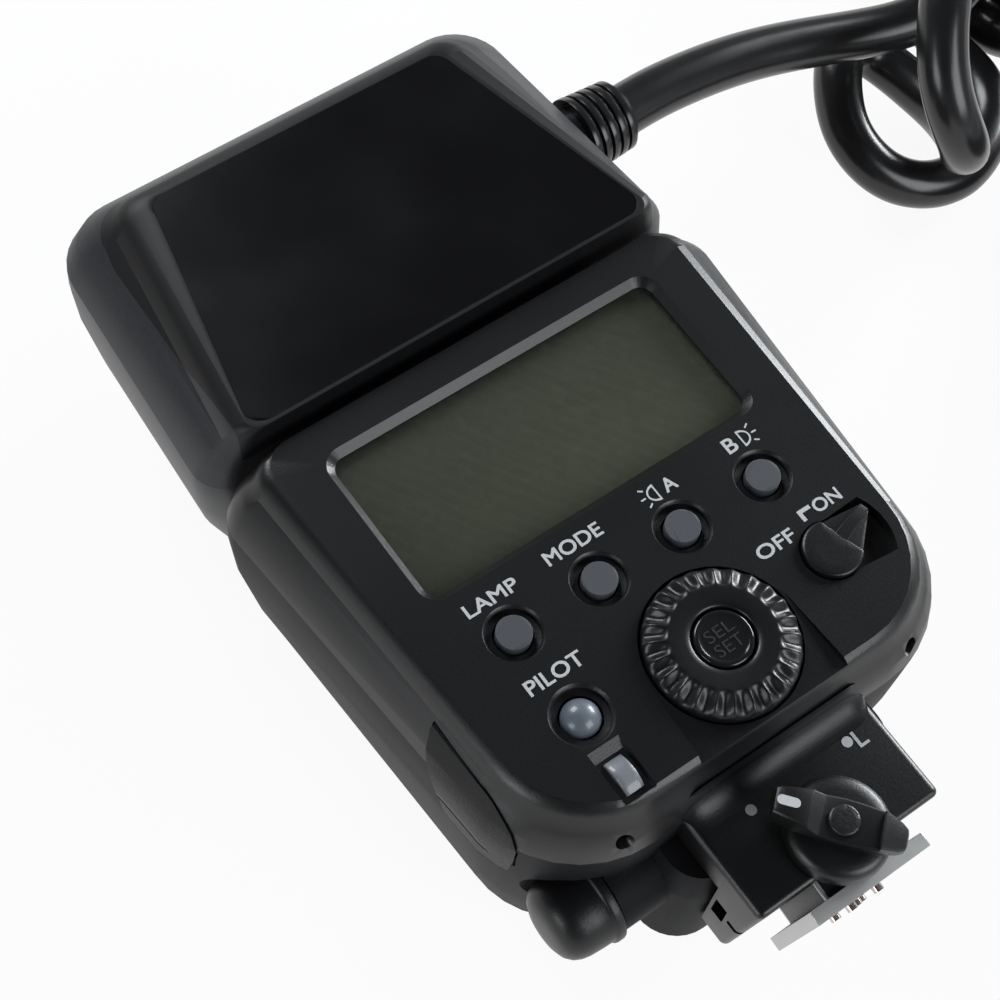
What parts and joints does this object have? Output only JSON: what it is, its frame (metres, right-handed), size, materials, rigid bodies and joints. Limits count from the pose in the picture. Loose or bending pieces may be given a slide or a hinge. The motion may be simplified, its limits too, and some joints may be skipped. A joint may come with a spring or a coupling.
{
  "type": "macro ring flash",
  "caption": "Macro ring flash: a hot-shoe control unit with display, keys and dial, joined by a curly cord to a ring-shaped flash head that fits round a lens.",
  "frame": {"origin": "middle of the shoe plate's underside", "axes": "+X to the cord side, +Y from the shoe to the head, +Z out of the display; the unit lies on its front housing, facing -Z"},
  "size_m": [0.2676, 0.1868, 0.0484],
  "materials": {
    "satin_black": "satin black moulded plastic",
    "gloss_black": "polished black plastic",
    "grey_key": "smooth grey plastic",
    "clear": "clear plastic",
    "pilot_lens": "milky blue-grey translucent plastic",
    "lcd": "olive-grey liquid crystal panel",
    "board": "green circuit board",
    "inner_black": "black sleeve",
    "inner_tape": "amber tape",
    "steel": "brushed steel",
    "copper": "copper alloy",
    "rubber": "smooth black rubber",
    "diffuser": "opal white plastic",
    "reflector": "bright aluminium",
    "lamp": "clear lamp lens"
  },
  "bodies": {
    "unit": {"rear_shell": "satin_black", "front_shell": "satin_black", "head_rear_cover": "satin_black", "head_panel": "gloss_black", "head_front_cover": "satin_black", "display_window": "clear", "lcd_module": "lcd", "main_board": "board", "key_switches": "inner_black", "main_capacitor": "inner_black", "transformer": "inner_tape", "battery_contacts": "copper", "battery_door_pin": "steel", "terminal_socket": "gloss_black", "sync_contact": "copper", "ready_window": "clear", "dial_encoder": "inner_black", "power_switch": "inner_black", "foot_block": "satin_black", "shoe_plate": "steel", "contact_block": "satin_black", "shoe_screws": "steel", "case_screws": "steel", "cord_gland": "rubber", "cord_lead": "rubber", "cord_curls": "rubber", "cord_tail": "rubber", "ring_gland": "rubber", "ring_rear_shell": "satin_black", "ring_front_shell": "satin_black", "diffuser_left": "diffuser", "diffuser_right": "diffuser", "reflector_left": "reflector", "reflector_right": "reflector", "flash_tubes": "lamp", "focusing_lamps": "lamp", "ring_board": "board", "release_springs": "steel", "ring_screws": "steel"},
    "lamp_key": {"lamp_button": "grey_key"},
    "mode_key": {"mode_button": "grey_key"},
    "ratio_a_key": {"ratio_a_button": "grey_key"},
    "ratio_b_key": {"ratio_b_button": "grey_key"},
    "pilot_key": {"pilot_button": "pilot_lens"},
    "dial": {"select_dial": "gloss_black"},
    "set_key": {"set_button": "gloss_black"},
    "power": {"power_lever": "satin_black"},
    "lock": {"lock_lever": "satin_black", "lock_lever_cap": "satin_black", "lock_shaft": "steel"},
    "lock_bolt": {"lock_pin": "steel"},
    "contacts": {"contact_pins": "copper"},
    "bay_door": {"battery_door": "satin_black"},
    "side_cover": {"terminal_cover": "rubber"},
    "socket_cap": {"sync_cap": "satin_black"},
    "left_release": {"release_left": "satin_black"},
    "right_release": {"release_right": "satin_black"}
  },
  "joints": [
    {"name": "lamp_press", "type": "slide", "parent": "unit", "child": "lamp_key", "axis": [0, 0, -1], "range_m": [0, 0.0006], "stiffness_N_per_m": 400},
    {"name": "mode_press", "type": "slide", "parent": "unit", "child": "mode_key", "axis": [0, 0, -1], "range_m": [0, 0.0006], "stiffness_N_per_m": 400},
    {"name": "ratio_a_press", "type": "slide", "parent": "unit", "child": "ratio_a_key", "axis": [0, 0, -1], "range_m": [0, 0.0006], "stiffness_N_per_m": 400},
    {"name": "ratio_b_press", "type": "slide", "parent": "unit", "child": "ratio_b_key", "axis": [0, 0, -1], "range_m": [0, 0.0006], "stiffness_N_per_m": 400},
    {"name": "pilot_press", "type": "slide", "parent": "unit", "child": "pilot_key", "axis": [0, 0, -1], "range_m": [0, 0.0006], "stiffness_N_per_m": 400},
    {"name": "set_press", "type": "slide", "parent": "unit", "child": "set_key", "axis": [0, 0, -1], "range_m": [0, 0.0006], "stiffness_N_per_m": 400},
    {"name": "dial_turn", "type": "hinge", "parent": "unit", "child": "dial", "pos_m": [0.0008, 0.0334, 0.0174], "axis": [0, 0, 1], "continuous": true},
    {"name": "power_turn", "type": "hinge", "parent": "unit", "child": "power", "pos_m": [0.0212, 0.0357, 0.0174], "axis": [0, 0, 1], "range_deg": [-40, 0]},
    {"name": "lock_turn", "type": "hinge", "parent": "unit", "child": "lock", "pos_m": [0, 0.0069, 0.0094], "axis": [0, 0, 1], "range_deg": [-85, 0]},
    {"name": "lock_drop", "type": "slide", "parent": "unit", "child": "lock_bolt", "axis": [0, -0.9919, -0.1271], "range_m": [0, 0.0015]},
    {"name": "contact_press", "type": "slide", "parent": "unit", "child": "contacts", "axis": [0, 0.9919, 0.1271], "range_m": [0, 0.0008], "stiffness_N_per_m": 500},
    {"name": "door_swing", "type": "hinge", "parent": "unit", "child": "bay_door", "pos_m": [0.0372, 0.0615, -0.0026], "axis": [0, 0, 1], "range_deg": [0, 100]},
    {"name": "cover_pull", "type": "slide", "parent": "unit", "child": "side_cover", "axis": [-1, 0, 0], "range_m": [0, 0.006]},
    {"name": "cap_pull", "type": "slide", "parent": "unit", "child": "socket_cap", "axis": [-1, 0, 0], "range_m": [0, 0.007]},
    {"name": "left_release_press", "type": "slide", "parent": "unit", "child": "left_release", "axis": [1, 0, 0], "range_m": [0, 0.002], "stiffness_N_per_m": 500},
    {"name": "right_release_press", "type": "slide", "parent": "unit", "child": "right_release", "axis": [-1, 0, 0], "range_m": [0, 0.002], "stiffness_N_per_m": 500}
  ],
  "couplings": [
    {"joint": "lock_turn", "follows": "lock_drop", "rad_per_m": -989.02}
  ]
}
